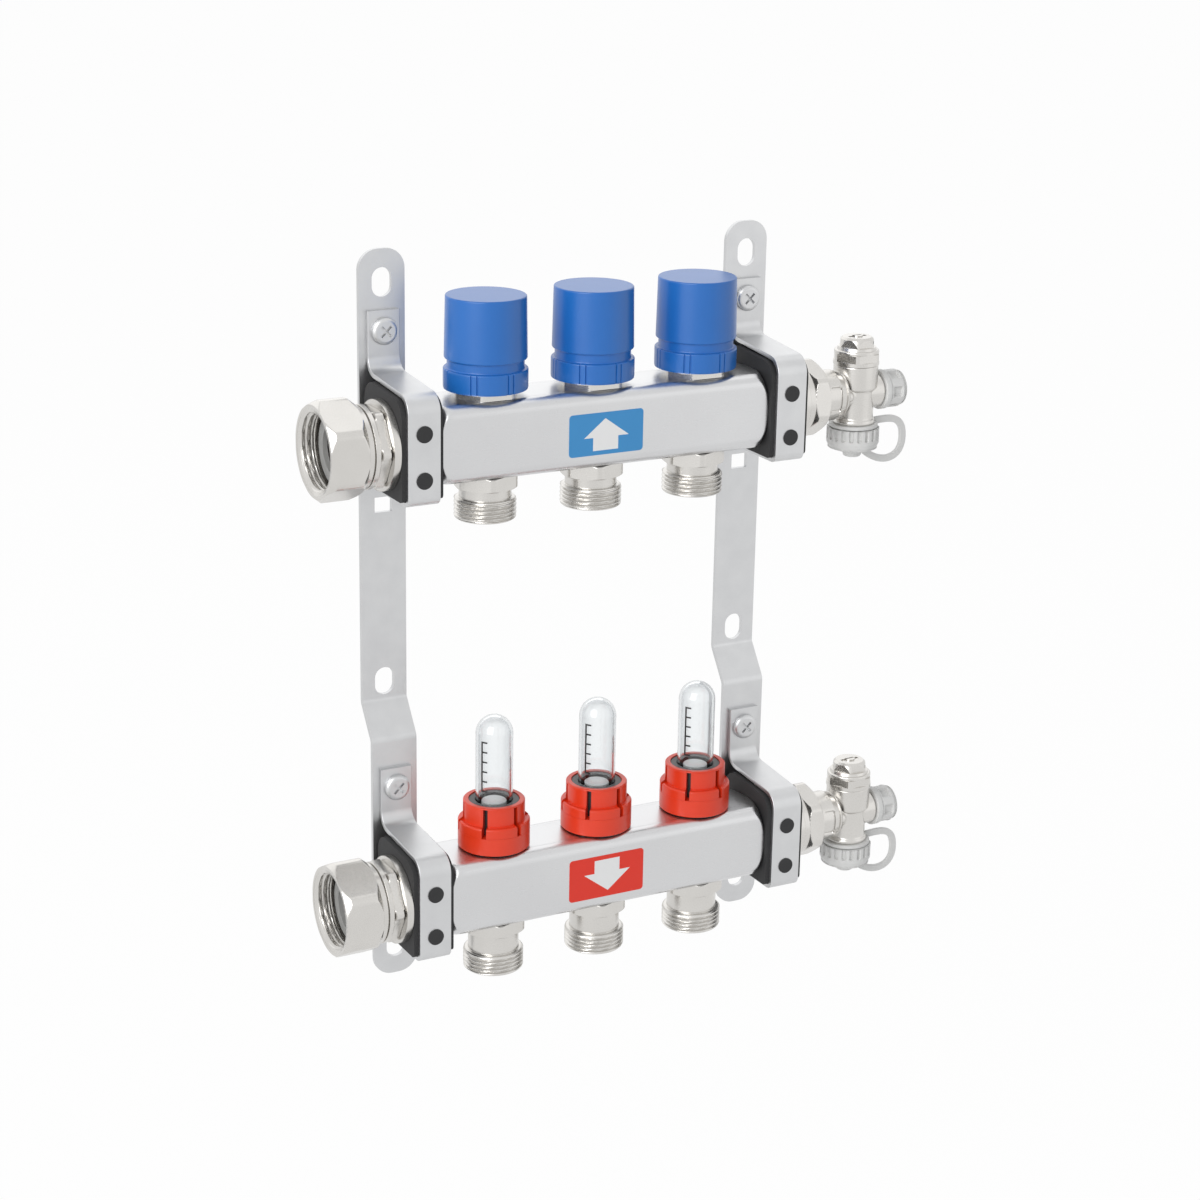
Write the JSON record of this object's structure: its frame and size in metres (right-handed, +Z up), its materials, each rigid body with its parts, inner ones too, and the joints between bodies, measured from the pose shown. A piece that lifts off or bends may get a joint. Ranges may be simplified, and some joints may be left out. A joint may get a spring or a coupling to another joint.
{
  "type": "heating manifold",
  "caption": "Wall-hung floor-heating manifold: a return bar with valve caps above a supply bar with flow meters, on two bent wall strips.",
  "frame": {"origin": "on the wall plane, on the left strip's middle line, halfway between its two wall slots", "axes": "+X along the bars from the union nuts to the end pieces, +Y into the wall, +Z up"},
  "size_m": [0.2896, 0.0549, 0.3198],
  "materials": {
    "bar_steel": "satin stainless steel",
    "strip_steel": "zinc-plated steel strip, satin",
    "screw_steel": "zinc-plated pan-head screw",
    "plated_brass": "nickel-plated brass, satin",
    "insert_rubber": "dark grey rubber",
    "cap_blue": "blue moulded plastic",
    "ring_red": "red moulded plastic",
    "bush_black": "black moulded plastic",
    "sight_clear": "clear moulded plastic",
    "float_white": "white moulded plastic",
    "cap_pale": "pale grey moulded plastic",
    "gasket_fibre": "flat fibre gasket"
  },
  "bodies": {
    "root": {"upper_bar": "bar_steel", "clamp_upper_left": "strip_steel", "rubber_insert_upper_left": "insert_rubber", "clamp_upper_right": "strip_steel", "rubber_insert_upper_right": "insert_rubber", "outlet_nipple_upper_1": "plated_brass", "outlet_nipple_upper_2": "plated_brass", "outlet_nipple_upper_3": "plated_brass", "union_tail_upper": "plated_brass", "end_body_upper": "plated_brass", "end_nut_upper": "plated_brass", "union_gasket_upper": "gasket_fibre", "cap_strap_upper": "cap_pale", "lower_bar": "bar_steel", "clamp_lower_left": "strip_steel", "rubber_insert_lower_left": "insert_rubber", "clamp_lower_right": "strip_steel", "rubber_insert_lower_right": "insert_rubber", "outlet_nipple_lower_1": "plated_brass", "outlet_nipple_lower_2": "plated_brass", "outlet_nipple_lower_3": "plated_brass", "union_tail_lower": "plated_brass", "end_body_lower": "plated_brass", "end_nut_lower": "plated_brass", "union_gasket_lower": "gasket_fibre", "cap_strap_lower": "cap_pale", "wall_strip_left": "strip_steel", "wall_strip_right": "strip_steel", "clamp_screws": "screw_steel", "valve_insert_1": "plated_brass", "flow_bush_1": "bush_black", "sight_glass_1": "sight_clear", "valve_insert_2": "plated_brass", "flow_bush_2": "bush_black", "sight_glass_2": "sight_clear", "valve_insert_3": "plated_brass", "flow_bush_3": "bush_black", "sight_glass_3": "sight_clear"},
    "union_nut_upper": {"union_nut_upper": "plated_brass"},
    "vent_cap_upper": {"vent_cap_upper": "plated_brass"},
    "side_plug_upper": {"side_plug_upper": "cap_pale"},
    "hose_cap_upper": {"hose_cap_upper": "cap_pale"},
    "union_nut_lower": {"union_nut_lower": "plated_brass"},
    "vent_cap_lower": {"vent_cap_lower": "plated_brass"},
    "side_plug_lower": {"side_plug_lower": "cap_pale"},
    "hose_cap_lower": {"hose_cap_lower": "cap_pale"},
    "flow_ring_1": {"flow_ring_1": "ring_red"},
    "flow_float_1": {"flow_float_1": "float_white"},
    "flow_ring_2": {"flow_ring_2": "ring_red"},
    "flow_float_2": {"flow_float_2": "float_white"},
    "flow_ring_3": {"flow_ring_3": "ring_red"},
    "flow_float_3": {"flow_float_3": "float_white"},
    "valve_spindle_1": {"valve_spindle_1": "plated_brass"},
    "valve_cap_1": {"valve_cap_1": "cap_blue"},
    "valve_spindle_2": {"valve_spindle_2": "plated_brass"},
    "valve_cap_2": {"valve_cap_2": "cap_blue"},
    "valve_spindle_3": {"valve_spindle_3": "plated_brass"},
    "valve_cap_3": {"valve_cap_3": "cap_blue"}
  },
  "joints": [
    {"name": "union_nut_turn_upper", "type": "hinge", "parent": "root", "child": "union_nut_upper", "pos_m": [-0.02, -0.0236, 0.024], "axis": [1, 0, 0], "continuous": true},
    {"name": "vent_cap_turn_upper", "type": "hinge", "parent": "root", "child": "vent_cap_upper", "pos_m": [0.22, -0.0236, 0.024], "axis": [0, 0, 1], "range_deg": [0, 360]},
    {"name": "side_plug_turn_upper", "type": "hinge", "parent": "root", "child": "side_plug_upper", "pos_m": [0.22, -0.0236, 0.024], "axis": [-1, 0, 0], "range_deg": [-720, 0]},
    {"name": "hose_cap_turn_upper", "type": "hinge", "parent": "root", "child": "hose_cap_upper", "pos_m": [0.22, -0.0236, 0.024], "axis": [0, 0, 1], "range_deg": [-1080, 0]},
    {"name": "union_nut_turn_lower", "type": "hinge", "parent": "root", "child": "union_nut_lower", "pos_m": [-0.02, -0.0339, -0.1735], "axis": [1, 0, 0], "continuous": true},
    {"name": "vent_cap_turn_lower", "type": "hinge", "parent": "root", "child": "vent_cap_lower", "pos_m": [0.22, -0.0339, -0.1735], "axis": [0, 0, 1], "range_deg": [0, 360]},
    {"name": "side_plug_turn_lower", "type": "hinge", "parent": "root", "child": "side_plug_lower", "pos_m": [0.22, -0.0339, -0.1735], "axis": [-1, 0, 0], "range_deg": [-720, 0]},
    {"name": "hose_cap_turn_lower", "type": "hinge", "parent": "root", "child": "hose_cap_lower", "pos_m": [0.22, -0.0339, -0.1735], "axis": [0, 0, 1], "range_deg": [-1080, 0]},
    {"name": "flow_ring_turn_1", "type": "hinge", "parent": "root", "child": "flow_ring_1", "pos_m": [0.037, -0.0339, -0.1735], "axis": [0, 0, 1], "range_deg": [0, 900]},
    {"name": "flow_float_rise_1", "type": "slide", "parent": "root", "child": "flow_float_1", "axis": [0, 0, 1], "range_m": [0, 0.022]},
    {"name": "flow_ring_turn_2", "type": "hinge", "parent": "root", "child": "flow_ring_2", "pos_m": [0.087, -0.0339, -0.1735], "axis": [0, 0, 1], "range_deg": [0, 900]},
    {"name": "flow_float_rise_2", "type": "slide", "parent": "root", "child": "flow_float_2", "axis": [0, 0, 1], "range_m": [0, 0.022]},
    {"name": "flow_ring_turn_3", "type": "hinge", "parent": "root", "child": "flow_ring_3", "pos_m": [0.137, -0.0339, -0.1735], "axis": [0, 0, 1], "range_deg": [0, 900]},
    {"name": "flow_float_rise_3", "type": "slide", "parent": "root", "child": "flow_float_3", "axis": [0, 0, 1], "range_m": [0, 0.022]},
    {"name": "spindle_press_1", "type": "slide", "parent": "root", "child": "valve_spindle_1", "axis": [0, 0, 1], "range_m": [-0.003, 0]},
    {"name": "valve_cap_turn_1", "type": "hinge", "parent": "valve_spindle_1", "child": "valve_cap_1", "pos_m": [0.037, -0.0236, 0.024], "axis": [0, 0, 1], "range_deg": [-720, 0]},
    {"name": "spindle_press_2", "type": "slide", "parent": "root", "child": "valve_spindle_2", "axis": [0, 0, 1], "range_m": [-0.003, 0]},
    {"name": "valve_cap_turn_2", "type": "hinge", "parent": "valve_spindle_2", "child": "valve_cap_2", "pos_m": [0.087, -0.0236, 0.024], "axis": [0, 0, 1], "range_deg": [-720, 0]},
    {"name": "spindle_press_3", "type": "slide", "parent": "root", "child": "valve_spindle_3", "axis": [0, 0, 1], "range_m": [-0.003, 0]},
    {"name": "valve_cap_turn_3", "type": "hinge", "parent": "valve_spindle_3", "child": "valve_cap_3", "pos_m": [0.137, -0.0236, 0.024], "axis": [0, 0, 1], "range_deg": [-720, 0]}
  ],
  "couplings": [
    {"joint": "spindle_press_1", "follows": "valve_cap_turn_1", "m_per_rad": 0.0002387},
    {"joint": "spindle_press_2", "follows": "valve_cap_turn_2", "m_per_rad": 0.0002387},
    {"joint": "spindle_press_3", "follows": "valve_cap_turn_3", "m_per_rad": 0.0002387}
  ]
}
